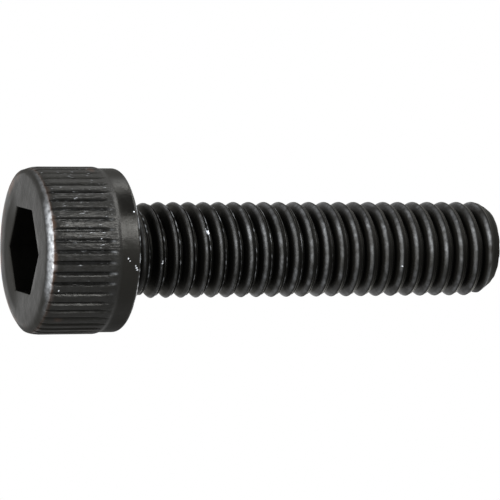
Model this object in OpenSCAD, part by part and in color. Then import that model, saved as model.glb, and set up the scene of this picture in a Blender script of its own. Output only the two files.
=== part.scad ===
// Hex socket head cap screw, M6 x 1, about 25 mm under the head, threaded up to the head.
// The screw stands on its head: the origin is the centre of the socket face,
// +Z runs up the screw's axis to its tip, and two corners of the hexagon lie along Y.

/* [Head] */
// Diameter over the crests of the knurl
head_d = 10.18; // [10:0.01:10.6]
// Height of the head, from the socket face to the bearing face
head_h = 5.86; // [5.5:0.01:6.2]
// Diameter of the plain band between the knurl and the bearing face
band_d = 9.98; // [9.6:0.01:10]
// Diameter of the flat part of the socket face
face_d = 8.8; // [8.6:0.02:9.3]
// Height of the rounded shoulder round the socket face
shoulder_h = 0.3; // [0.1:0.02:0.5]
// Diameter where the shoulder ends and the knurl begins
knurl_start_d = 9.96; // [9.6:0.02:10.1]
// Distance from the socket face to where the knurl reaches its full diameter
knurl_lead_l = 0.9; // [0.6:0.05:1.5]
// Radius on the edge between the band and the bearing face
band_edge_r = 0.28; // [0.1:0.02:0.4]

/* [Knurl] */
// Number of grooves round the head
knurl_count = 48; // [32:2:60]
// Depth of a groove below the knurl's crests
knurl_depth = 0.17; // [0.1:0.01:0.24]
// Width of a groove at the knurl's crests
knurl_groove_w = 0.32; // [0.2:0.01:0.36]
// Width of a groove at its bottom
knurl_root_w = 0.08; // [0.04:0.01:0.14]
// Distance from the socket face to where the grooves have run out
knurl_l = 4.4; // [3.2:0.05:4.7]
// Length over which a groove runs out
knurl_runout_l = 0.8; // [0.3:0.05:1.2]
// Length of the crests past the end of the grooves
land_end_l = 0.06; // [0.02:0.01:0.1]
// Length of the slope from the knurl's crests down to the plain band
band_step_l = 0.14; // [0.1:0.02:0.2]
// Turn of the first groove from +X, in degrees
knurl_turn = 3.6; // [0:0.1:7.5]

/* [Socket] */
// Width of the hexagon across its flats
socket_af = 5.08; // [4.8:0.01:5.4]
// Depth of the hexagon's full section
socket_depth = 3.2; // [2.6:0.05:3.4]
// Full angle of the drill point below the hexagon, in degrees
drill_point_angle = 120; // [110:1:140]

/* [Shank] */
// Length from the bearing face to the tip
shank_l = 24.64; // [12:0.01:29]
// Diameter of the plain neck under the head, which is the thread's blank
neck_d = 5.36; // [5.2:0.01:5.6]
// Length of the plain neck, fillet included
neck_l = 0.45; // [0.4:0.05:1.5]
// Radius of the fillet between the bearing face and the neck
fillet_r = 0.3; // [0.15:0.05:0.35]

/* [Thread] */
// Diameter over the thread's crests
thread_d = 5.88; // [5.7:0.01:6]
// Pitch of the right-hand thread
pitch = 1; // [0.8:0.05:1.25]
// Length over which the thread rises out of the neck
thread_rise_l = 1.5; // [0.5:0.1:4]
// Direction in which the thread starts, in degrees from +X
thread_start = 144; // [0:1:359]
// Diameter of the flat end at the tip
tip_d = 4.7; // [4.2:0.02:5.2]
// Length of the chamfer at the tip
tip_chamfer_l = 0.75; // [0.4:0.05:1.6]

/* [Hidden] */
$fn = 96;

// Oxide black, as the photo shows it
oxide_black = [0.13, 0.13, 0.14];

// Head radii, worked out from the sizes above
head_r = head_d / 2;
band_r = band_d / 2;
knurl_root_r = head_r - knurl_depth;
socket_corner_r = socket_af / sqrt(3);
// The drill is a little smaller than the hexagon, so it leaves the flats whole
drill_r = socket_af / 2 - 0.02;
// Slopes that make up the shoulder's curve, and the curve's power: 1 would be a straight chamfer
shoulder_steps = 4;
shoulder_power = 2.4;
// How far a cutter reaches past the surface it cuts
cut_past = 1;
// How far a groove's sides go on widening past the crests
groove_past = 0.04;

// Shank and thread radii. The rolled blank is a hair thinner than the neck, so they meet in a clean step.
crest_r = thread_d / 2;
depth_share = 0.6134;
thread_depth = depth_share * pitch;
root_r = crest_r - thread_depth;
neck_r = neck_d / 2;
neck_step = 0.03;
blank_r = neck_r - neck_step;
tip_r = tip_d / 2;
neck_top = head_h + neck_l;
tip_z = head_h + shank_l;
// How far the neck and the thread's core reach down into the head
seat = 0.5;

// One turn of the thread, as [share of the pitch, radius]: a crest and a root, each with three points
// for its rounding, joined by flanks at 30 degrees to the radius.
crest_half = 0.1;
crest_drop = 0.03;
root_rise = 0.05;
root_half = 0.5 - crest_half - (depth_share - crest_drop - root_rise) * tan(30);
TURN = [
    [-crest_half, crest_r - crest_drop * pitch],
    [0, crest_r],
    [crest_half, crest_r - crest_drop * pitch],
    [0.5 - root_half, root_r + root_rise * pitch],
    [0.5, root_r],
    [0.5 + root_half, root_r + root_rise * pitch]
];
per_turn = len(TURN);
// Flats round one turn of the helix
flats = 32;
// The lowest point of the thread lies just above the neck, and its highest just below the tip.
thread_gap = 0.02;
thread_z = neck_top + thread_gap;
turns = ceil((tip_z - thread_z) / pitch);

// Share of the thread's full height at height z, as it rises out of the blank near the head
function risen(z) = min(1, max(0, (z - neck_top) / thread_rise_l));

// Radius of the chamfer's cone at height z
function chamfer_r(z) = tip_r + (tip_z - z) * (crest_r - tip_r) / tip_chamfer_l;

// Direction of flat s, and the point at radius r and height z there
function flat_angle(s) = thread_start + 360 * s / flats;
function on_flat(s, r, z) = [r * cos(flat_angle(s)), r * sin(flat_angle(s)), z];

// Height of profile point j in turn t at flat s
function helix_z(s, t, j) = thread_z + pitch * (s / flats + t + TURN[j][0] + crest_half);

// The column of thread points at flat s, from the neck up to the tip
function column(s) = [
    for (t = [0:turns], j = [0:per_turn - 1])
        let (z = helix_z(s, t, j))
        if (z < tip_z - thread_gap)
            on_flat(s, min(blank_r + (TURN[j][1] - blank_r) * risen(z), chamfer_r(z)), z)
];

// A column's place in the point list is the sum of the columns before it.
function sums(lengths) = [
    for (n = 0, total = 0; n <= len(lengths); total = total + (n < len(lengths) ? lengths[n] : 0), n = n + 1)
        total
];

// A four-sided patch as two triangles, its corners given anticlockwise from outside
function patch(a, b, c, d) = [[a, c, b], [a, d, c]];

// Triangles from one point to each stretch of a path
function fan(apex, path) = [for (n = [0:len(path) - 2]) [apex, path[n + 1], path[n]]];

// Point of the shoulder's curve at a share of its width, from the socket face out to the knurl
function on_shoulder(share) = [
    face_d / 2 + share * (knurl_start_d - face_d) / 2,
    shoulder_h * pow(share, shoulder_power)
];

// The turned head without its knurl and socket
module head_blank() {
    rotate_extrude()
        union() {
            polygon([
                [0, 0],
                each [for (n = [0:shoulder_steps]) on_shoulder(n / shoulder_steps)],
                [head_r, knurl_lead_l],
                [head_r, knurl_l + land_end_l],
                [band_r, knurl_l + land_end_l + band_step_l],
                [band_r, head_h - band_edge_r],
                [band_r - band_edge_r, head_h],
                [0, head_h]
            ]);
            translate([band_r - band_edge_r, head_h - band_edge_r])
                circle(r = band_edge_r);
        }
}

// Section of one groove, which points along +X and widens outwards to just past the crests
module groove_section() {
    spread = (knurl_groove_w - knurl_root_w) / 2 / knurl_depth;
    out_half = knurl_groove_w / 2 + spread * groove_past;
    polygon([
        [knurl_root_r, -knurl_root_w / 2],
        [head_r + groove_past, -out_half],
        [head_r + 2 * cut_past, -out_half],
        [head_r + 2 * cut_past, out_half],
        [head_r + groove_past, out_half],
        [knurl_root_r, knurl_root_w / 2]
    ]);
}

// What one tooth of the knurling tool presses away: a straight groove, cut off by a tilted one,
// so that it gets shallower and narrower until it runs out
module groove() {
    tilt = atan(knurl_depth / knurl_runout_l);
    intersection() {
        translate([0, 0, -cut_past])
            linear_extrude(height = knurl_l + 2 * cut_past)
                groove_section();
        translate([knurl_root_r, 0, knurl_l - knurl_runout_l])
            rotate([0, tilt, 0])
                translate([-knurl_root_r, 0, -head_h - cut_past])
                    linear_extrude(height = 2 * (head_h + cut_past))
                        groove_section();
    }
}

module knurl_grooves() {
    for (n = [0:knurl_count - 1])
        rotate([0, 0, knurl_turn + 360 * n / knurl_count])
            groove();
}

// The hexagon socket with its drill point
module socket() {
    translate([0, 0, -cut_past])
        rotate([0, 0, 90])
            cylinder(r = socket_corner_r, h = socket_depth + cut_past, $fn = 6);
    rotate_extrude()
        polygon([
            [0, socket_depth - cut_past],
            [drill_r, socket_depth - cut_past],
            [drill_r, socket_depth],
            [0, socket_depth + drill_r / tan(drill_point_angle / 2)]
        ]);
}

// The plain neck, with the fillet that joins it to the bearing face
module neck() {
    rotate_extrude()
        difference() {
            translate([0, head_h - seat])
                square([neck_r + fillet_r, seat + fillet_r]);
            translate([neck_r + fillet_r, head_h + fillet_r])
                circle(r = fillet_r);
        }
    translate([0, 0, head_h])
        cylinder(r = neck_r, h = neck_l);
}

// The rolled thread, from inside the head to the chamfered tip: a column of points over each flat,
// stitched to the next one, and a ring of points that closes each end
module thread() {
    columns = [for (s = [0:flats - 1]) column(s)];
    starts = sums([for (c = columns) len(c)]);
    base_ring = starts[flats];
    tip_ring = base_ring + flats;
    function base_at(s) = base_ring + s % flats;
    function tip_at(s) = tip_ring + s % flats;
    // Past the last flat comes the first one again, a turn further up
    function at(s, k) = s < flats ? starts[s] + k : starts[0] + per_turn + k;
    function count(s) = s < flats ? len(columns[s]) : len(columns[0]) - per_turn;

    walls = [
        for (s = [0:flats - 1], k = [0:min(count(s), count(s + 1)) - 2])
            each patch(at(s, k), at(s + 1, k), at(s + 1, k + 1), at(s, k + 1))
    ];
    foot = [
        for (s = [0:flats - 2])
            each patch(base_at(s), base_at(s + 1), at(s + 1, 0), at(s, 0))
    ];
    foot_seam = fan(
        at(flats - 1, 0),
        concat([base_at(flats - 1)], [base_at(0)], [for (k = [0:per_turn]) at(0, k)])
    );
    end = [
        for (s = [0:flats - 1])
            each fan(
                at(s + 1, count(s + 1) - 1),
                concat(
                    [tip_at(s + 1), tip_at(s)],
                    [for (k = [count(s) - 1:-1:count(s + 1) - 1]) at(s, k)]
                )
            )
    ];
    polyhedron(
        points = concat(
            [for (c = columns) each c],
            [for (s = [0:flats - 1]) on_flat(s, blank_r, head_h - seat)],
            [for (s = [0:flats - 1]) on_flat(s, tip_r, tip_z)]
        ),
        faces = concat(
            walls,
            foot,
            foot_seam,
            end,
            [[for (s = [0:flats - 1]) base_at(s)]],
            [[for (s = [flats - 1:-1:0]) tip_at(s)]]
        ),
        convexity = 8
    );
}

module cap_screw() {
    color(oxide_black) {
        difference() {
            head_blank();
            knurl_grooves();
            socket();
        }
        neck();
        thread();
    }
}

cap_screw();
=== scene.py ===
"""Hex socket cap screw, M6 x 1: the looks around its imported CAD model.

The screw stands on its head. The origin is the centre of the socket face, +Z runs up the screw's axis
to its tip, and two corners of the hexagon lie along Y. Meshes are shaped in millimetres, with azimuths
in degrees from +X, and are scaled to metres when the screw is finished.
"""

import logging
import math
import random
from dataclasses import dataclass, field, replace
from enum import Enum

import bmesh
import bpy
from mathutils import Matrix, Vector, noise

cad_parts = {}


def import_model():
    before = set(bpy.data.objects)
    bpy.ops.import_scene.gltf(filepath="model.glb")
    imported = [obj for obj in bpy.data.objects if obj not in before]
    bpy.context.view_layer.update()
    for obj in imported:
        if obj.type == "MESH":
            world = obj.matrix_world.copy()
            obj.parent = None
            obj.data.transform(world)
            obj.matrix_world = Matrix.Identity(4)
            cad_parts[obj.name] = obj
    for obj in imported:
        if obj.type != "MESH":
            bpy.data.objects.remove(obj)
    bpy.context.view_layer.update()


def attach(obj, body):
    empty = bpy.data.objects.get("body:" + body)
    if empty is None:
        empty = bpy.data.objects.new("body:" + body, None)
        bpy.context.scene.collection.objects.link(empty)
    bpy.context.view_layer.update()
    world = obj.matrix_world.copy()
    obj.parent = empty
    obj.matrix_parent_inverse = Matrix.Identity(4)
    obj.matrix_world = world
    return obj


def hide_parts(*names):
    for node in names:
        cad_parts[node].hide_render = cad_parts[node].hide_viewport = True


NODE = "cap_screw"
BODY = "root"
SLOT = "black_oxide_steel"
MM = 0.001

Span = tuple[float, float]
Colour = tuple[float, float, float]

log = logging.getLogger("cap_screw")


class Form(Enum):
    """What a row of the head's profile becomes once it has been spun round the axis."""

    ROUND = "round"
    HEXAGON = "hexagon"
    KNURL = "knurl"


class Trace(Enum):
    """A trace of making and use, painted shade and painted highlight among them, kept as a vertex attribute that the
    finish reads.
    """

    # Bare steel: real wear, and painted highlight where it is laid on the lit side.
    BARE_AND_HIGHLIGHT = "bare_steel_and_highlight"
    BROWN = "brown_oxide"
    DULL = "dull_oxide"
    # Painted shade: a near-black coat in the socket, on the thread's flanks and seam, on a patch of the band and in
    # some of the knurl's grooves.
    PAINTED_SHADE = "painted_shade"
    COARSE = "coarse_grain"
    FLECKED = "rubbed_flecks"


@dataclass(frozen=True)
class Row:
    """One point of a turned profile: its radius and height, and what its ring becomes."""

    radius: float
    height: float
    form: Form = Form.ROUND


def arc(radius: float, height: float, bend: float, start: float, end: float, steps: int,
        form: Form = Form.ROUND) -> list[Row]:
    """Points of a profile along an arc.

    Args:
        radius: Radius at which the arc's centre lies.
        height: Height at which the arc's centre lies.
        bend: Radius of the arc itself.
        start: Direction of its first point, in degrees from outwards towards the tip.
        end: Direction of its last point.
        steps: Number of stretches between the two.
        form: What the rings become.

    Returns:
        The rows, first and last point included.
    """
    turns = [math.radians(start + (end - start) * n / steps) for n in range(steps + 1)]
    return [Row(radius + bend * math.cos(t), height + bend * math.sin(t), form) for t in turns]


def azimuth_of(point: Vector) -> float:
    """Direction of a point round the axis, in degrees from 0 to 360."""
    return math.degrees(math.atan2(point.y, point.x)) % 360.0


def place(vert: bmesh.types.BMVert, azimuth: float, radius: float, height: float) -> None:
    """Moves a vertex to an azimuth in degrees, a radius and a height."""
    turn = math.radians(azimuth)
    vert.co = Vector((radius * math.cos(turn), radius * math.sin(turn), height))


def smooth(low: float, high: float, value: float) -> float:
    """A soft step from 0 at low to 1 at high."""
    share = min(1.0, max(0.0, (value - low) / (high - low)))
    return share * share * (3.0 - 2.0 * share)


def lean(azimuth: float, towards: float) -> float:
    """How far a direction points towards another one: 1 along it, -1 against it."""
    return math.cos(math.radians(azimuth - towards))


def write_traces(bm: bmesh.types.BMesh, amounts: list[dict[Trace, float]]) -> None:
    """Stores the traces in the mesh, one attribute each.

    Args:
        bm: The mesh.
        amounts: What each vertex holds of each trace, in their order; a trace left out is 0.
    """
    for trace in Trace:
        bm.verts.layers.float.new(trace.value)
    layers = {trace: bm.verts.layers.float[trace.value] for trace in Trace}
    for vert, held in zip(bm.verts, amounts):
        for trace, amount in held.items():
            vert[layers[trace]] = min(1.0, max(0.0, amount))


@dataclass(frozen=True)
class Spot:
    """A point of the head: its place, how deep it lies in a groove, and the noises there."""

    azimuth: float
    radius: float
    height: float
    groove: float
    patch: float
    fine: float


@dataclass(frozen=True)
class Zone:
    """Where a trace lies on the head. Each span is where it fades in or out, and most are open.

    Attributes:
        level: The trace's amount where nothing fades it.
        rise: Heights over which it fades in.
        fall: Heights over which it fades out.
        ragged: How far the patchy noise shifts the end of the fall.
        beyond: Radius outside which it lies.
        radii: Radii over which it fades in.
        within: Radii over which it fades out.
        grooves: Depths below the lands over which it fades in.
        side: Azimuth that it faces.
        leans: How far a point has to face that side.
        patches: Values of the patchy noise over which it fades in.
        specks: Values of the fine noise over which it fades in.
        patchy: Whether the patchy noise also scales it.
    """

    ALWAYS = (-200.0, -100.0)
    NEVER = (100.0, 200.0)

    level: float = 1.0
    rise: Span = ALWAYS
    fall: Span = NEVER
    ragged: float = 0.0
    beyond: float = -1.0
    radii: Span = ALWAYS
    within: Span = NEVER
    grooves: Span = ALWAYS
    side: float = 0.0
    leans: Span = ALWAYS
    patches: Span = ALWAYS
    specks: Span = ALWAYS
    patchy: bool = False

    def amount(self, at: Spot) -> float:
        """What the zone adds to its trace.

        Args:
            at: A point of the head.

        Returns:
            The amount there.
        """
        if at.height < self.rise[0] or at.radius <= max(self.beyond, self.radii[0]):
            return 0.0
        fade_in = smooth(*self.rise, at.height) * smooth(*self.radii, at.radius) * smooth(*self.grooves, at.groove)
        fade_out = smooth(self.fall[0], self.fall[1] + self.ragged * at.patch, at.height)
        facing = smooth(*self.leans, lean(at.azimuth, self.side))
        chance = smooth(*self.patches, at.patch) * smooth(*self.specks, at.fine) * (at.patch if self.patchy else 1.0)
        return self.level * fade_in * (1.0 - fade_out) * (1.0 - smooth(*self.within, at.radius)) * facing * chance


@dataclass
class Knurl:
    """The straight grooves pressed into the head's side."""

    count: int = 48
    crest_radius: float = 5.09
    depth: float = 0.17
    crest_width: float = 0.32
    root_width: float = 0.08
    end: float = 4.4
    runout: float = 0.8
    turn: float = 3.56
    seed: int = 7
    drift: float = 0.22
    end_drift: float = 0.12
    depth_shares: Span = (0.82, 1.06)
    runout_shares: Span = (0.75, 1.25)
    offsets: tuple[float, ...] = (-3.3, -2.6, -2.1, -1.7, -1.1, -0.45, 0.45, 1.1, 1.7, 2.1, 2.6, 3.3)
    land_from: float = 2.4
    land_drift: float = 0.4
    grooves: list[tuple[float, float, float, float]] = field(init=False)

    def __post_init__(self) -> None:
        """Gives each groove its own shift, depth, end and run-out, as a worn tool leaves them."""
        wander = random.Random(self.seed)
        self.grooves = [
            (
                wander.uniform(-self.drift, self.drift),
                self.depth * wander.uniform(*self.depth_shares),
                self.end + wander.uniform(-self.end_drift, self.end_drift),
                self.runout * wander.uniform(*self.runout_shares),
            )
            for _ in range(self.count)
        ]

    @property
    def steps(self) -> int:
        """Number of vertices round a ring of the knurl."""
        return self.count * len(self.offsets)

    def cut(self, vert: bmesh.types.BMVert) -> None:
        """Draws a vertex of a spun ring to its place across a groove, and presses it in.

        Args:
            vert: A vertex of a ring that has the knurl's number of steps.
        """
        step = round(azimuth_of(vert.co) / 360.0 * self.steps)
        groove, place_across = divmod(step, len(self.offsets))
        shift, depth, end, runout = self.grooves[groove % self.count]
        offset = self.offsets[place_across]
        across = abs(math.radians(offset)) * self.crest_radius
        slope = (self.crest_width - self.root_width) / 2.0
        section = depth * min(1.0, max(0.0, (self.crest_width / 2.0 - across) / slope))
        lifted = depth * max(0.0, (vert.co.z - end + runout) / runout)
        radius = math.hypot(vert.co.x, vert.co.y)
        if section > lifted:
            radius = min(radius, self.crest_radius - (section - lifted))
        azimuth = self.turn + 360.0 * groove / self.count + offset
        drift = shift if abs(offset) < self.land_from else self.land_drift * shift
        place(vert, azimuth + drift, radius, vert.co.z)


@dataclass
class Head:
    """The forged head with its hexagon socket, its knurl and the plain neck below it."""

    knurl: Knurl = field(default_factory=Knurl)
    height: float = 5.86
    face_radius: float = 4.4
    dome_radius: float = 3.9
    dome_height: float = 0.05
    shoulder_height: float = 0.3
    shoulder_power: float = 2.2
    shoulder_shift: float = 0.07
    shoulder_towards: float = 130.0
    shift_from: float = 0.3
    shift_ends: float = 0.12
    sharp_share: float = 0.65
    sharp_side: float = 110.0
    sharp_leans: Span = (0.0, 0.8)
    knurl_start_radius: float = 4.98
    knurl_open_from: float = 0.7
    knurl_lead: float = 0.9
    land_end: float = 4.3
    band_start: float = 4.72
    band_radius: float = 4.99
    band_edge: float = 0.28
    apothem: float = 2.54
    socket_depth: float = 3.2
    socket_mouth: float = 0.1
    drill_radius: float = 2.52
    drill_half_angle: float = 60.0
    neck_radius: float = 2.68
    neck_length: float = 0.45
    neck_edge: float = 0.02
    fillet: float = 0.3
    socket_heights: tuple[float, ...] = (1.6, 0.5)
    face_radii: tuple[float, ...] = (3.1, 3.3, 3.5, 3.7, 3.9, 4.06, 4.22)
    shoulder_shares: tuple[float, ...] = (0.0, 0.16, 0.32, 0.48, 0.62, 0.74, 0.84, 0.92)
    lead_shares: tuple[float, ...] = (0.02, 0.1, 0.25, 0.5, 1.0)
    knurl_heights: tuple[float, ...] = (1.2, 1.6, 2.0, 2.4, 2.8, 3.1, 3.3, 3.5, 3.62, 3.74, 3.86, 3.98, 4.1, 4.2,
                                        4.3, 4.4, 4.5)
    band_heights: tuple[float, ...] = (4.6, 4.95, 5.25)
    bearing_radii: tuple[float, ...] = (4.3, 3.6)
    patch_per_mm: float = 0.9
    fine_per_mm: float = 4.0
    # Azimuths that traces face. Bare steel laid towards the lit, worn side is partly painted highlight; the band's dark
    # patch towards -133 degrees is painted shade.
    worn_and_lit_side: float = -96.0
    worn_and_lit_leans: Span = (0.74, 1.0)
    rubbed_side: float = -140.0
    shaded_side: float = -133.0
    back_side: float = 85.0
    flat_side: float = 175.0
    face_below: float = 0.03
    far_face: Zone = Zone(level=0.7, within=(3.7, 4.1), side=80.0, leans=(0.2, 0.8))
    band_rise: Span = (4.5, 4.8)
    above_rise: Span = (0.0, 0.1)
    knurl_dull: float = 0.65
    dull_leans: Span = (0.6, 0.93)
    band_dull_later: float = 0.22
    side: Zone = field(init=False)
    shoulder: Zone = field(init=False)

    def __post_init__(self) -> None:
        """Lays out the two zones that most traces keep to: the side and the shoulder."""
        self.side = Zone(rise=(0.25, 0.6), beyond=self.neck_radius + self.fillet)
        self.shoulder = Zone(fall=(self.shoulder_height, self.shoulder_height + 0.06),
                             radii=(self.face_radius + 0.05, self.face_radius + 0.4))

    def socket_rows(self) -> list[Row]:
        """Profile of the socket, from the drill point's bottom to the rounded mouth."""
        drill_depth = self.drill_radius / math.tan(math.radians(self.drill_half_angle))
        mouth = self.socket_mouth
        return [
            Row(0.0, self.socket_depth + drill_depth),
            Row(self.drill_radius / 2.0, self.socket_depth + drill_depth / 2.0),
            Row(self.drill_radius, self.socket_depth),
            *(Row(self.apothem, z, Form.HEXAGON) for z in (self.socket_depth, *self.socket_heights)),
            *arc(self.apothem + mouth, mouth, mouth, 180.0, 270.0, 4, Form.HEXAGON),
        ]

    def face_rows(self) -> list[Row]:
        """Profile of the socket face, which falls away a little towards the rounded shoulder."""
        width = self.knurl_start_radius - self.face_radius
        knurled_from = self.face_radius + self.knurl_open_from * width
        radii = [*self.face_radii, *(self.face_radius + share * width for share in self.shoulder_shares)]
        return [Row(radius, self.face_height(radius), Form.KNURL if radius > knurled_from else Form.ROUND)
                for radius in radii]

    def face_height(self, radius: float) -> float:
        """Height of the socket face and its shoulder above the lowest point, at a radius."""
        dome = max(0.0, radius - self.dome_radius) / (self.knurl_start_radius - self.dome_radius)
        curve = max(0.0, radius - self.face_radius) / (self.knurl_start_radius - self.face_radius)
        rest = self.shoulder_height - self.dome_height
        return self.dome_height * dome**2 + rest * curve**self.shoulder_power

    def knurl_rows(self) -> list[Row]:
        """Profile of the knurled side: it swells behind the shoulder and stays straight to its end."""
        swell = self.knurl.crest_radius - self.knurl_start_radius
        lead = [
            Row(self.knurl.crest_radius - swell * (1.0 - share) ** 2,
                self.shoulder_height + share * (self.knurl_lead - self.shoulder_height), Form.KNURL)
            for share in self.lead_shares
        ]
        return [*lead, *(Row(self.side_radius(z), z, Form.KNURL) for z in self.knurl_heights)]

    def side_radius(self, height: float) -> float:
        """Radius of the lands, and of the plain band that they run down to."""
        drop = self.knurl.crest_radius - self.band_radius
        return self.knurl.crest_radius - drop * smooth(self.land_end, self.band_start, height)

    def band_rows(self) -> list[Row]:
        """Profile of the plain band and its rounded edge."""
        edge = arc(self.band_radius - self.band_edge, self.height - self.band_edge, self.band_edge, 0.0, 90.0, 8)
        return [*(Row(self.side_radius(z), z) for z in sorted((self.band_start, *self.band_heights))), *edge]

    def neck_rows(self) -> list[Row]:
        """Profile of the bearing face, the fillet and the neck, closed on the axis."""
        bearing = [Row(r, self.height) for r in self.bearing_radii]
        fillet = arc(self.neck_radius + self.fillet, self.height + self.fillet, self.fillet, 270.0, 180.0, 5)
        top = self.height + self.neck_length
        return [*bearing, *fillet, Row(self.neck_radius, top - self.neck_edge),
                Row(self.neck_radius - self.neck_edge, top), Row(0.0, top)]

    def hexagon_radius(self, apothem: float, azimuth: float) -> float:
        """Radius of the hexagon in a direction, with corners along Y."""
        return apothem / math.cos(math.radians((azimuth + 30.0) % 60.0 - 30.0))

    def build(self) -> bmesh.types.BMesh:
        """Spins the profile, presses the hexagon and the grooves into it and moves the shoulder.

        Returns:
            The closed head, in millimetres.
        """
        rows = [*self.socket_rows(), *self.face_rows(), *self.knurl_rows(), *self.band_rows(),
                *self.neck_rows()]
        bm = bmesh.new()
        layer = bm.verts.layers.int.new("row")
        chain = []
        for number, row in enumerate(rows):
            vert = bm.verts.new((row.radius, 0.0, row.height))
            vert[layer] = number
            chain.append(vert)
        edges = [bm.edges.new(pair) for pair in zip(chain, chain[1:])]
        bmesh.ops.spin(bm, geom=[*chain, *edges], cent=(0.0, 0.0, 0.0), axis=(0.0, 0.0, 1.0),
                       angle=math.tau, steps=self.knurl.steps, use_merge=True)
        bmesh.ops.remove_doubles(bm, verts=bm.verts, dist=1e-5)
        for vert in bm.verts:
            form = rows[vert[layer]].form
            if form is Form.HEXAGON:
                azimuth = azimuth_of(vert.co)
                apothem = math.hypot(vert.co.x, vert.co.y)
                place(vert, azimuth, self.hexagon_radius(apothem, azimuth), vert.co.z)
            elif form is Form.KNURL:
                self.knurl.cut(vert)
        bmesh.ops.recalc_face_normals(bm, faces=bm.faces)
        self.shift_shoulder(bm)
        self.mark(bm)
        return bm

    def shift_shoulder(self, bm: bmesh.types.BMesh) -> None:
        """Moves the shoulder a little to one side and leaves it sharper there, as forging does.

        Args:
            bm: The head's mesh.
        """
        reach_from = self.face_radius - self.shift_from
        for vert in bm.verts:
            radius, azimuth = math.hypot(vert.co.x, vert.co.y), azimuth_of(vert.co)
            if vert.co.z < self.shoulder_height and radius > reach_from:
                share = smooth(reach_from, self.face_radius, radius) * (
                    1.0 - smooth(self.knurl_start_radius - self.shift_ends, self.knurl_start_radius, radius))
                shift = self.shoulder_shift * share * lean(azimuth, self.shoulder_towards)
                sharp = self.sharp_share * share * smooth(*self.sharp_leans, lean(azimuth, self.sharp_side))
                place(vert, azimuth, radius + shift, vert.co.z * (1.0 - sharp))

    def dull(self, at: Spot) -> float:
        """How dull the oxide is: most where the side turns away from the light.

        Args:
            at: A point of the head.

        Returns:
            The amount of the trace there.
        """
        if at.height < self.face_below:
            return self.far_face.amount(at)
        banded, above = smooth(*self.band_rise, at.height), lean(at.azimuth, self.flat_side)
        start = self.dull_leans[0] + self.band_dull_later * banded * smooth(*self.above_rise, above)
        level = self.knurl_dull + (1.0 - self.knurl_dull) * banded
        return level * max(self.side.amount(at), self.shoulder.amount(at)) * smooth(
            start, self.dull_leans[1], abs(above))

    def zones(self) -> dict[Trace, tuple[Zone, ...]]:
        """Lays out where each trace lies, apart from the dull oxide.

        Returns:
            The zones of each trace, whose amounts add up.
        """
        knurled = replace(self.side, fall=(4.3, 4.7))
        rim = replace(self.side, rise=(0.26, 0.33), fall=(0.33, 0.46), ragged=0.2)
        back_rim = Zone(fall=(0.15, 0.3), radii=(self.face_radius - 0.05, self.face_radius + 0.1),
                        side=self.back_side, leans=(-0.2, 0.6))
        edge_from = self.band_radius - self.band_edge
        bearing = Zone(rise=(self.height - 0.14, self.height - 0.03), radii=(edge_from, edge_from + 0.08))
        socket = Zone(rise=(self.face_below, self.face_below + 0.001), fall=(self.height - 0.6, self.height - 0.599),
                      within=(self.apothem + 0.599, self.apothem + 0.6))
        return {
            # Bare steel: the patchy shoulder and the back rim are wear all round; the zones that face the lit, worn
            # side are wear and painted highlight at once, on the shoulder, rim, side, bearing edge, lands and groove
            # ends.
            Trace.BARE_AND_HIGHLIGHT: (
                replace(self.shoulder, level=0.19, side=self.worn_and_lit_side, leans=self.worn_and_lit_leans),
                replace(self.shoulder, level=0.01, patchy=True),
                replace(back_rim, level=0.015),
                replace(rim, level=0.1, side=self.worn_and_lit_side, leans=self.worn_and_lit_leans, specks=(0.0, 0.4)),
                replace(bearing, level=0.34, side=self.worn_and_lit_side, leans=(-0.6, 0.9), specks=(-0.1, 0.4)),
                replace(self.side, level=0.05, rise=(0.1, 0.24), fall=(0.3, 0.34), side=self.worn_and_lit_side - 12.0,
                        leans=(0.2, 0.9)),
                replace(knurled, level=0.006, side=self.worn_and_lit_side, leans=(0.2, 1.0)),
                replace(knurled, level=0.08, rise=(3.8, 4.2), grooves=(0.015, 0.06), side=self.worn_and_lit_side,
                        leans=(0.75, 1.0)),
            ),
            Trace.BROWN: (
                replace(rim, level=0.2),
                replace(rim, level=0.5, side=self.worn_and_lit_side, leans=self.worn_and_lit_leans),
                replace(back_rim, level=0.6, patches=(-0.3, 0.3)),
            ),
            # Painted shade: darker in the socket, on a patch of the band, and in the knurl's grooves on the side turned
            # away from 175 degrees.
            Trace.PAINTED_SHADE: (
                replace(socket, level=0.7),
                replace(self.side, level=0.6, rise=self.band_rise, side=self.shaded_side, leans=(0.94, 0.995)),
                replace(knurled, level=0.55, grooves=(0.04, 0.12), side=self.flat_side, leans=(-0.75, -0.3)),
            ),
            Trace.COARSE: (
                replace(knurled, level=0.45),
                replace(knurled, level=0.55, side=self.rubbed_side, leans=(-0.5, 0.5)),
                Zone(level=0.15, fall=(0.0, 0.05)),
            ),
            Trace.FLECKED: (replace(self.side, fall=(4.0, 4.3), side=self.rubbed_side, leans=(0.1, 0.9)),),
        }

    def mark(self, bm: bmesh.types.BMesh) -> None:
        """Writes the traces of making and use, with the painted shade and painted highlights among them.

        Args:
            bm: The head's mesh.
        """
        amounts, zones = [], self.zones()
        for vert in bm.verts:
            radius, height = math.hypot(vert.co.x, vert.co.y), vert.co.z
            at = Spot(azimuth_of(vert.co), radius, height, self.side_radius(height) - radius,
                      noise.noise(vert.co * self.patch_per_mm), noise.noise(vert.co * self.fine_per_mm))
            held = {trace: sum(zone.amount(at) for zone in places) for trace, places in zones.items()}
            amounts.append({**held, Trace.DULL: self.dull(at)})
        write_traces(bm, amounts)


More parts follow.
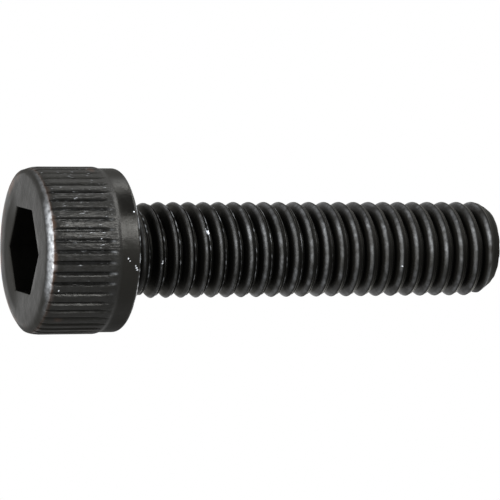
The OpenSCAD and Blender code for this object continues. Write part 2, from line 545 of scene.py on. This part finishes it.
@dataclass
class Shank:
    """The shank with its rolled thread, from inside the head to the chamfered tip.

    A point of the thread's section has its share of the pitch from the crest, its drop below the crest
    near the head, where rolling has folded a lip over a seam, and its drop near the tip.
    """

    crest_radius: float = 2.94
    blank_radius: float = 2.65
    pitch: float = 1.0
    crest_at: float = 8.031
    rise_start: float = 6.31
    rise_length: float = 1.5
    foot: float = 5.4
    tip: float = 30.5
    chamfer_start: float = 29.7
    chamfer_slope: float = 0.72
    tip_edge: float = 0.25
    tip_flat: float = 2.27
    steps: int = 96
    section: tuple[tuple[float, float, float], ...] = (
        (-0.43, 0.595, 0.57), (-0.37, 0.505, 0.445), (-0.31, 0.4, 0.32), (-0.25, 0.29, 0.215),
        (-0.19, 0.178, 0.138), (-0.14, 0.114, 0.086), (-0.1, 0.074, 0.052), (-0.06, 0.041, 0.024),
        (-0.02, 0.015, 0.006), (0.015, 0.0, 0.0), (0.05, 0.012, 0.016), (0.085, 0.06, 0.042), (0.115, 0.15, 0.068),
        (0.155, 0.205, 0.09), (0.19, 0.2, 0.098), (0.215, 0.16, 0.102), (0.24, 0.137, 0.112), (0.265, 0.13, 0.135),
        (0.295, 0.18, 0.185), (0.34, 0.305, 0.29), (0.39, 0.445, 0.43), (0.45, 0.59, 0.585),
    )
    lap_fades: Span = (10.0, 23.0)
    squeeze: float = 0.1
    squeezed_to: float = 14.0
    filled: Span = (29.5, 30.1)
    tip_shift: float = 0.08
    tip_towards: float = 175.0
    lip_at: float = 0.265
    lip_fades: Span = (0.01, 0.05)
    lip_bare: float = 0.2
    lip_per_mm: float = 4.5
    lip_specks: Span = (0.0, 0.35)
    valley_edge: float = 0.12
    valley_fade: float = 0.08
    valley_shift: float = 0.21
    valley_shifts: Span = (9.0, 26.0)
    lit_to: float = 0.0
    lit_fade: float = 0.08
    lit_shift: float = 0.09
    lit_shifts: Span = (9.0, 16.0)
    shine_at: float = -0.035
    shine_near: float = 0.02
    shine_far: float = 0.07
    shine_widens: float = 0.05
    shine_near_head: float = 0.75
    shine_bare: float = 0.035
    shine_patches: float = 0.05
    patch_per_mm: float = 1.7
    # The worn line along the crest is brightened towards this side as a painted highlight.
    bright_side: float = -113.0
    bright_more: float = 0.9
    bright_leans: Span = (0.9, 1.0)
    bright_from: Span = (7.0, 13.0)
    # Painted shade on the flanks and in the seam, and how dull it leaves them.
    left_painted_shade: float = 0.9
    right_painted_shade: float = 0.85
    painted_shade_dull: float = 0.5

    def end_radius(self, height: float) -> float:
        """Radius that the chamfer and the rounded edge of the tip leave at a height."""
        cone = self.crest_radius - self.chamfer_slope * (height - self.chamfer_start)
        into_edge = min(self.tip_edge, max(0.0, height - (self.tip - self.tip_edge)))
        edge = self.tip_flat + math.sqrt(self.tip_edge**2 - into_edge**2)
        return min(cone, edge) if into_edge > 0.0 else cone

    def build(self) -> bmesh.types.BMesh:
        """Spins a line of thread sections once round with the pitch as its rise, and cuts both ends.

        Returns:
            The closed shank, in millimetres.
        """
        bm = bmesh.new()
        layer = bm.verts.layers.int.new("point")
        turns = range(math.floor(self.foot - self.crest_at) - 2, math.ceil(self.tip - self.crest_at) + 2)
        chain = []
        for turn in turns:
            for number, (share, drop, _) in enumerate(self.section):
                height = self.crest_at + (turn + share) * self.pitch
                vert = bm.verts.new((self.crest_radius - drop * self.pitch, 0.0, height))
                vert[layer] = number
                chain.append(vert)
        edges = [bm.edges.new(pair) for pair in zip(chain, chain[1:])]
        bmesh.ops.spin(bm, geom=[*chain, *edges], cent=(0.0, 0.0, 0.0), axis=(0.0, 0.0, 1.0),
                       dvec=(0.0, 0.0, self.pitch / self.steps), angle=math.tau, steps=self.steps,
                       use_merge=False)
        bmesh.ops.remove_doubles(bm, verts=bm.verts, dist=1e-3)
        self.form_ends(bm)
        for height, outwards in ((self.foot, -1.0), (self.tip, 1.0)):
            bmesh.ops.bisect_plane(bm, geom=[*bm.verts, *bm.edges, *bm.faces], dist=1e-5,
                                   plane_co=(0.0, 0.0, height), plane_no=(0.0, 0.0, outwards),
                                   clear_outer=True)
            rim = [edge for edge in bm.edges if edge.is_boundary
                   and all(abs(vert.co.z - height) < 1e-4 for vert in edge.verts)]
            bmesh.ops.holes_fill(bm, edges=rim, sides=0)
        bmesh.ops.recalc_face_normals(bm, faces=bm.faces)
        self.mark(bm)
        return bm

    def form_ends(self, bm: bmesh.types.BMesh) -> None:
        """Lets the thread rise out of the blank, fades the crest's lap and turns the tip's chamfer.

        Args:
            bm: The spun thread.
        """
        layer = bm.verts.layers.int["point"]
        for vert in bm.verts:
            azimuth, z = azimuth_of(vert.co), vert.co.z
            _, lapped, plain = self.section[vert[layer]]
            radius = self.crest_radius - self.pitch * (lapped + (plain - lapped) * smooth(*self.lap_fades, z))
            risen = min(1.0, max(0.0, (z - self.rise_start) / self.rise_length))
            radius = self.blank_radius + (radius - self.blank_radius) * risen
            end = self.end_radius(min(z, self.tip)) + self.tip_shift * lean(azimuth, self.tip_towards)
            radius += (end - radius) * smooth(*self.filled, z)
            place(vert, azimuth, min(radius, end),
                  z + self.squeeze * (1.0 - smooth(self.rise_start, self.squeezed_to, z)))

    def painted_shade(self, share: float, lip: float, z: float) -> float:
        """How much painted shade darkens the flanks and the seam.

        Args:
            share: Share of the pitch from the crest.
            lip: How far the point belongs to the lip beside the seam.
            z: Height above the socket face.

        Returns:
            The amount of the trace there.
        """
        left = self.valley_edge + self.valley_shift * smooth(*self.valley_shifts, z)
        right = self.lit_to - self.lit_shift * smooth(*self.lit_shifts, z)
        return max(self.left_painted_shade * smooth(left, left + self.valley_fade, -share),
                   self.right_painted_shade * smooth(right, right + self.lit_fade, share) * (1.0 - lip))

    def shine(self, share: float, azimuth: float, z: float) -> float:
        """How far the worn line along the crest shows, brightened as a painted highlight on the lit side.

        Args:
            share: Share of the pitch from the crest.
            azimuth: Direction round the axis.
            z: Height above the socket face.

        Returns:
            A factor for the bare steel there, above 1 on the bright side, where it is painted highlight.
        """
        along = smooth(*self.lit_shifts, z)
        off = abs(share - self.shine_at + self.lit_shift * along)
        line = 1.0 - smooth(self.shine_near, self.shine_far + self.shine_widens * along, off)
        facing = smooth(*self.bright_leans, lean(azimuth, self.bright_side))
        bright = 1.0 + self.bright_more * facing * smooth(*self.bright_from, z)
        return (self.shine_near_head + (1.0 - self.shine_near_head) * along) * line * bright

    def mark(self, bm: bmesh.types.BMesh) -> None:
        """Writes where crests and the lap's lip are worn, where the crests carry a painted highlight, where shade is
        painted on the flanks and in the seam, and where the tip is dull.

        Args:
            bm: The shank's mesh.
        """
        amounts = []
        layer = bm.verts.layers.int["point"]
        for vert in bm.verts:
            azimuth, z, share = azimuth_of(vert.co), vert.co.z, self.section[vert[layer]][0]
            lip = (1.0 - smooth(*self.lip_fades, abs(share - self.lip_at))) * (1.0 - smooth(*self.lap_fades, z))
            # Painted shade darkens the flanks and the seam; the crests' bare steel is wear, brightened on the lit side
            # as painted highlight.
            painted_shade = self.painted_shade(share, lip, z)
            crest = self.shine_bare + self.shine_patches * noise.noise(vert.co * self.patch_per_mm)
            specks = smooth(*self.lip_specks, noise.noise(vert.co * self.lip_per_mm))
            amounts.append({
                Trace.BARE_AND_HIGHLIGHT: crest * self.shine(share, azimuth, z) + self.lip_bare * lip * specks,
                Trace.DULL: max(smooth(*self.filled, z), self.painted_shade_dull * painted_shade),
                Trace.PAINTED_SHADE: painted_shade,
            })
        write_traces(bm, amounts)


@dataclass(frozen=True)
class Chip:
    """A speck where the oxide is knocked off: its place on the surface and its size."""

    azimuth: float
    height: float
    radius: float
    size: float

    @property
    def centre(self) -> tuple[float, float, float]:
        """The speck's place in metres."""
        turn = math.radians(self.azimuth)
        return self.radius * math.cos(turn) * MM, self.radius * math.sin(turn) * MM, self.height * MM


@dataclass(frozen=True)
class Pattern:
    """A noise in object space: its blobs to a millimetre, its detail, and how far it is drawn out along Z."""

    name: str
    per_mm: float
    detail: float
    along: float = 1.0


class Desk:
    """Makes and joins the nodes of one material."""

    def __init__(self, tree: bpy.types.NodeTree) -> None:
        """Takes the material's node tree."""
        self.nodes, self.links = tree.nodes, tree.links
        self.place = self.nodes.new("ShaderNodeTexCoord").outputs["Object"]

    def pattern(self, wanted: Pattern) -> bpy.types.Node:
        """Makes a noise texture."""
        mapping = self.nodes.new("ShaderNodeMapping")
        mapping.inputs["Scale"].default_value = (1.0, 1.0, wanted.along)
        self.links.new(self.place, mapping.inputs["Vector"])
        texture = self.nodes.new("ShaderNodeTexNoise")
        texture.name = wanted.name
        texture.inputs["Scale"].default_value = wanted.per_mm / MM
        texture.inputs["Detail"].default_value = wanted.detail
        self.links.new(mapping.outputs["Vector"], texture.inputs["Vector"])
        return texture

    def trace(self, kind: Trace) -> bpy.types.NodeSocket:
        """The amount of one trace at a point of the surface."""
        attribute = self.nodes.new("ShaderNodeAttribute")
        attribute.name = kind.value
        attribute.attribute_name = kind.value
        return attribute.outputs["Fac"]

    def span(self, value: bpy.types.NodeSocket, read: Span, given: Span) -> bpy.types.NodeSocket:
        """Stretches a value from one range to another."""
        node = self.nodes.new("ShaderNodeMapRange")
        for socket, number in zip(("From Min", "From Max", "To Min", "To Max"), (*read, *given)):
            node.inputs[socket].default_value = number
        self.links.new(value, node.inputs["Value"])
        return node.outputs["Result"]

    def reckon(self, operation: str, first: bpy.types.NodeSocket, second: bpy.types.NodeSocket) -> bpy.types.NodeSocket:
        """Works out one value from two."""
        node = self.nodes.new("ShaderNodeMath")
        node.operation = operation
        self.links.new(first, node.inputs[0])
        self.links.new(second, node.inputs[1])
        return node.outputs["Value"]

    def blend(self, amount: bpy.types.NodeSocket, first: bpy.types.NodeSocket | Colour,
              second: Colour) -> bpy.types.NodeSocket:
        """Mixes a colour with another by an amount."""
        node = self.nodes.new("ShaderNodeMix")
        node.data_type = "RGBA"
        self.links.new(amount, node.inputs["Factor"])
        if isinstance(first, tuple):
            node.inputs["A"].default_value = (*first, 1.0)
        else:
            self.links.new(first, node.inputs["A"])
        node.inputs["B"].default_value = (*second, 1.0)
        return node.outputs["Result"]

    def bump(self, height: bpy.types.NodeSocket, reach: float,
             below: bpy.types.NodeSocket | None) -> bpy.types.NodeSocket:
        """Raises the surface by a height with a reach in mm, over the bumps that are there."""
        node = self.nodes.new("ShaderNodeBump")
        node.inputs["Distance"].default_value = reach * MM
        self.links.new(height, node.inputs["Height"])
        if below is not None:
            self.links.new(below, node.inputs["Normal"])
        return node.outputs["Normal"]


@dataclass(frozen=True)
class BlackOxide:
    """Black oxide on steel, lightly oiled: near black, blacker where shade is painted, duller where it ages, and bright
    where it is worn off or where a highlight is painted.
    """

    oxide: Colour = (0.0052, 0.005, 0.0043)
    # Painted shade: a near-black colour, mostly metallic, that reflects almost nothing.
    painted_shade: Colour = (0.001, 0.001, 0.0008)
    painted_shade_depth: float = 0.8
    brown: Colour = (0.055, 0.031, 0.021)
    steel: Colour = (0.68, 0.71, 0.75)
    gloss: Colour = (1.0, 0.99, 0.94)
    refraction: float = 1.2
    polish: Span = (0.24, 0.38)
    polished: Span = (0.3, 0.7)
    dull_roughness: float = 0.8
    patches: Pattern = Pattern("oxide patches", 0.7, 4.0)
    swell: Pattern = Pattern("swell", 1.1, 5.0)
    swell_height: float = 0.04
    grain: Pattern = Pattern("grain", 5.0, 3.0)
    grain_height: float = 0.003
    coarse: Pattern = Pattern("coarse grain", 8.0, 2.0, along=0.25)
    coarse_height: float = 0.035
    rubbed: Pattern = Pattern("rubbed spots", 3.5, 3.0)
    rubbed_read: Span = (0.35, 0.65)
    rubbed_given: Span = (0.5, 1.5)
    flecks: Pattern = Pattern("flecks", 9.0, 2.0, along=0.25)
    flecks_read: Span = (0.67, 0.8)
    flecks_given: Span = (0.0, 0.4)
    torn: Pattern = Pattern("torn edges", 14.0, 2.0)
    torn_reach: float = 0.1
    chip_core: float = 0.6
    chips: tuple[Chip, ...] = (
        Chip(-82.8, 5.54, 4.99, 0.06), Chip(-81.4, 5.6, 4.98, 0.06), Chip(-84.2, 5.48, 4.99, 0.045),
        Chip(-122.5, 5.56, 4.99, 0.045), Chip(-102.7, 3.3, 5.08, 0.06), Chip(-66.8, 0.77, 5.08, 0.06),
        Chip(-89.2, 5.0, 4.99, 0.05), Chip(-87.5, 5.12, 4.99, 0.04),
        Chip(-120.3, 10.88, 2.88, 0.13), Chip(-118.2, 10.9, 2.86, 0.16), Chip(-116.2, 10.92, 2.86, 0.14),
        Chip(-113.2, 10.49, 2.9, 0.08), Chip(-81.5, 7.96, 2.9, 0.07), Chip(-79.0, 7.93, 2.9, 0.06),
        Chip(-73.2, 23.69, 2.93, 0.09),
    )

    def bare_and_highlight(self, desk: Desk) -> bpy.types.NodeSocket:
        """How far the steel shows: worn places, flecks and chips, with the painted highlights that the bare-steel trace
        holds.

        Args:
            desk: The material's nodes.

        Returns:
            The share of bare steel, painted highlights included.
        """
        rubbed = desk.span(desk.pattern(self.rubbed).outputs["Fac"], self.rubbed_read, self.rubbed_given)
        worn = desk.reckon("MULTIPLY", desk.trace(Trace.BARE_AND_HIGHLIGHT), rubbed)
        flecks = desk.span(desk.pattern(self.flecks).outputs["Fac"], self.flecks_read, self.flecks_given)
        bare_and_highlight = desk.reckon("MAXIMUM", worn, desk.reckon("MULTIPLY", flecks, desk.trace(Trace.FLECKED)))
        ragged = desk.nodes.new("ShaderNodeVectorMath")
        ragged.operation = "MULTIPLY_ADD"
        ragged.inputs[1].default_value = (self.torn_reach * MM,) * 3
        desk.links.new(desk.pattern(self.torn).outputs["Color"], ragged.inputs[0])
        desk.links.new(desk.place, ragged.inputs[2])
        for chip in self.chips:
            away = desk.nodes.new("ShaderNodeVectorMath")
            away.operation = "DISTANCE"
            away.inputs[1].default_value = [along + self.torn_reach / 2.0 * MM for along in chip.centre]
            desk.links.new(ragged.outputs["Vector"], away.inputs[0])
            edge = (self.chip_core * chip.size * MM, chip.size * MM)
            bare_and_highlight = desk.reckon("MAXIMUM", bare_and_highlight, desk.span(away.outputs["Value"], edge, (1.0, 0.0)))
        return bare_and_highlight

    def material(self) -> bpy.types.Material:
        """Makes the material.

        Returns:
            A node material that reads the traces from the mesh.
        """
        made = bpy.data.materials.new(SLOT)
        made.use_nodes = True
        desk = Desk(made.node_tree)
        shader = desk.nodes["Principled BSDF"]
        shader.inputs["IOR"].default_value = self.refraction
        shader.inputs["Specular Tint"].default_value = (*self.gloss, 1.0)

        bare_and_highlight, painted_shade = self.bare_and_highlight(desk), desk.trace(Trace.PAINTED_SHADE)
        # Painted shade turns the oxide into a near-black metal.
        colour = desk.blend(painted_shade, self.oxide, self.painted_shade)
        colour = desk.blend(desk.trace(Trace.BROWN), colour, self.brown)
        # Bare steel is wear, and painted highlight where the trace lays it on the lit side.
        desk.links.new(desk.blend(bare_and_highlight, colour, self.steel), shader.inputs["Base Color"])
        # Metallic: bare steel, and painted shade made metal so that its black swallows reflections.
        shade_metallic = desk.span(painted_shade, (0.0, 1.0), (0.0, self.painted_shade_depth))
        desk.links.new(desk.reckon("MAXIMUM", bare_and_highlight, shade_metallic), shader.inputs["Metallic"])

        dull = desk.nodes.new("ShaderNodeMix")
        desk.links.new(desk.trace(Trace.DULL), dull.inputs["Factor"])
        polish = desk.span(desk.pattern(self.patches).outputs["Fac"], self.polished, self.polish)
        desk.links.new(polish, dull.inputs["A"])
        dull.inputs["B"].default_value = self.dull_roughness
        desk.links.new(dull.outputs["Result"], shader.inputs["Roughness"])

        normal = desk.bump(desk.pattern(self.swell).outputs["Fac"], self.swell_height, None)
        normal = desk.bump(desk.pattern(self.grain).outputs["Fac"], self.grain_height, normal)
        coarse = desk.reckon("MULTIPLY", desk.pattern(self.coarse).outputs["Fac"], desk.trace(Trace.COARSE))
        desk.links.new(desk.bump(coarse, self.coarse_height, normal), shader.inputs["Normal"])
        return made


@dataclass
class CapScrew:
    """The whole screw: head and shank welded to one piece, finished in black oxide."""

    head: Head = field(default_factory=Head)
    shank: Shank = field(default_factory=Shank)
    finish: BlackOxide = field(default_factory=BlackOxide)
    sharp_from: float = 35.0

    def mesh_object(self, name: str, bm: bmesh.types.BMesh) -> bpy.types.Object:
        """Turns a bmesh into an object in the scene.

        Args:
            name: The object's name.
            bm: The mesh, which is freed.

        Returns:
            The object, shaded smooth.
        """
        for face in bm.faces:
            face.smooth = True
        mesh = bpy.data.meshes.new(name)
        bm.to_mesh(mesh)
        bm.free()
        made = bpy.data.objects.new(name, mesh)
        bpy.context.scene.collection.objects.link(made)
        return made

    def build(self) -> bpy.types.Object:
        """Welds the shank to the head, scales them to metres and dresses them.

        Returns:
            The finished piece, which stands for the CAD node.
        """
        screw = self.mesh_object("screw", self.head.build())
        log.info("head: %d faces", len(screw.data.polygons))
        shank = self.mesh_object("shank", self.shank.build())
        log.info("shank: %d faces", len(shank.data.polygons))
        weld = screw.modifiers.new("weld", "BOOLEAN")
        weld.operation = "UNION"
        weld.solver = "MANIFOLD"
        weld.object = shank
        bpy.context.view_layer.objects.active = screw
        bpy.ops.object.modifier_apply(modifier=weld.name)
        bpy.data.objects.remove(shank)
        screw.data.transform(Matrix.Scale(MM, 4))
        screw.data.set_sharp_from_angle(angle=math.radians(self.sharp_from))
        screw.data.materials.clear()
        screw.data.materials.append(self.finish.material())
        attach(screw, BODY)
        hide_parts(NODE)
        triangles = sum(len(face.vertices) - 2 for face in screw.data.polygons)
        log.info("screw: %d triangles", triangles)
        return screw


@dataclass(frozen=True)
class Lamp:
    """A softbox that points at the screw: direction in degrees, distance and sides in mm, power in watts."""

    name: str
    azimuth: float
    elevation: float
    distance: float
    width: float
    length: float
    power: float

    def build(self, aim: Vector) -> bpy.types.Object:
        """Makes the lamp.

        Args:
            aim: The point that it faces, in millimetres.

        Returns:
            The lamp's object.
        """
        around, up = math.radians(self.azimuth), math.radians(self.elevation)
        away = Vector((math.cos(around) * math.cos(up), math.sin(around) * math.cos(up), math.sin(up)))
        data = bpy.data.lights.new(self.name, "AREA")
        data.shape = "RECTANGLE"
        data.size, data.size_y = self.width * MM, self.length * MM
        data.energy = self.power
        made = bpy.data.objects.new(self.name, data)
        made.location = (aim + away * self.distance) * MM
        made.rotation_mode = "QUATERNION"
        made.rotation_quaternion = (-away).to_track_quat("-Z", "Y")
        made.visible_camera = False
        bpy.context.scene.collection.objects.link(made)
        return made


@dataclass
class Studio:
    """The pale floor, the soft light and the camera, which sees the screw lying across the picture."""

    floor_side: float = 900.0
    floor_drop: float = 0.02
    floor_colour: Colour = (0.8, 0.8, 0.8)
    floor_roughness: float = 0.9
    fill: float = 0.3
    aim: Vector = field(default_factory=lambda: Vector((0.0, 0.0, 14.66)))
    camera_at: Vector = field(default_factory=lambda: Vector((-20.767, -233.191, -74.506)))
    camera_up: Vector = field(default_factory=lambda: Vector((-0.99618, 0.08715, 0.00439)))
    camera_aim: Vector = field(default_factory=lambda: Vector((0.0269, -0.002, 14.6602)))
    lens: float = 292.27
    sensor: float = 36.0
    sight: Span = (0.01, 10.0)
    lamps: tuple[Lamp, ...] = (
        Lamp("key", -126.0, 27.0, 260.0, 100.0, 150.0, 1.2),
        Lamp("strip", -160.0, 48.0, 260.0, 300.0, 60.0, 0.65),
        Lamp("overhead", 163.0, 18.0, 260.0, 50.0, 80.0, 0.2),
        Lamp("left", -106.0, -67.0, 260.0, 340.0, 290.0, 2.3),
        Lamp("back", 60.0, 40.0, 260.0, 120.0, 120.0, 0.1),
    )

    def floor(self) -> bpy.types.Object:
        """Makes the floor: it carries the shadow from above and is see-through from below.

        Returns:
            The floor's object, marked as stage.
        """
        bm = bmesh.new()
        bmesh.ops.create_grid(bm, x_segments=1, y_segments=1, size=self.floor_side * MM / 2.0)
        bmesh.ops.translate(bm, verts=bm.verts, vec=(0.0, 0.0, -self.floor_drop * MM))
        mesh = bpy.data.meshes.new("floor")
        bm.to_mesh(mesh)
        bm.free()
        made = bpy.data.objects.new("floor", mesh)
        bpy.context.scene.collection.objects.link(made)
        material = bpy.data.materials.new("pale_floor")
        material.use_nodes = True
        nodes, links = material.node_tree.nodes, material.node_tree.links
        matt = nodes["Principled BSDF"]
        matt.inputs["Base Color"].default_value = (*self.floor_colour, 1.0)
        matt.inputs["Roughness"].default_value = self.floor_roughness
        clear = nodes.new("ShaderNodeBsdfTransparent")
        sides = nodes.new("ShaderNodeMixShader")
        geometry = nodes.new("ShaderNodeNewGeometry")
        links.new(geometry.outputs["Backfacing"], sides.inputs["Fac"])
        links.new(matt.outputs["BSDF"], sides.inputs[1])
        links.new(clear.outputs["BSDF"], sides.inputs[2])
        links.new(sides.outputs["Shader"], nodes["Material Output"].inputs["Surface"])
        mesh.materials.append(material)
        made.visible_shadow = False
        made.visible_glossy = False
        made.visible_diffuse = False
        return made

    def world(self) -> None:
        """Makes a world that is white to look at and a softer fill for what it lights."""
        world = bpy.data.worlds.new("studio")
        world.use_nodes = True
        nodes, links = world.node_tree.nodes, world.node_tree.links
        background = nodes["Background"]
        background.inputs["Color"].default_value = (1.0, 1.0, 1.0, 1.0)
        path = nodes.new("ShaderNodeLightPath")
        seen = path.outputs["Is Camera Ray"]
        for name in ("Is Glossy Ray", "Is Transmission Ray"):
            either = nodes.new("ShaderNodeMath")
            either.operation = "MAXIMUM"
            links.new(seen, either.inputs[0])
            links.new(path.outputs[name], either.inputs[1])
            seen = either.outputs["Value"]
        level = nodes.new("ShaderNodeMapRange")
        level.inputs["To Min"].default_value = self.fill
        level.inputs["To Max"].default_value = 1.0
        links.new(seen, level.inputs["Value"])
        links.new(level.outputs["Result"], background.inputs["Strength"])
        bpy.context.scene.world = world

    def camera(self) -> bpy.types.Object:
        """Makes the scene's camera where the photograph was taken from.

        Returns:
            The camera's object.
        """
        data = bpy.data.cameras.new("camera")
        data.lens = self.lens
        data.sensor_width = self.sensor
        data.clip_start, data.clip_end = self.sight
        made = bpy.data.objects.new("camera", data)
        back = (self.camera_at - self.camera_aim).normalized()
        right = self.camera_up.cross(back).normalized()
        up = back.cross(right)
        turn = Matrix((right, up, back)).transposed().to_4x4()
        made.matrix_world = Matrix.Translation(self.camera_at * MM) @ turn
        bpy.context.scene.collection.objects.link(made)
        bpy.context.scene.camera = made
        return made

    def build(self) -> None:
        """Sets up the floor, the world, the lamps and the camera."""
        self.floor()
        self.world()
        for lamp in self.lamps:
            lamp.build(self.aim)
        self.camera()
        bpy.context.scene.view_settings.view_transform = "Standard"
        log.info("studio: %d lamps", len(self.lamps))


def main() -> None:
    """Builds the screw and its studio."""
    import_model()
    CapScrew().build()
    Studio().build()


if __name__ == "__main__":
    logging.basicConfig(level=logging.INFO, format="%(message)s")
    main()
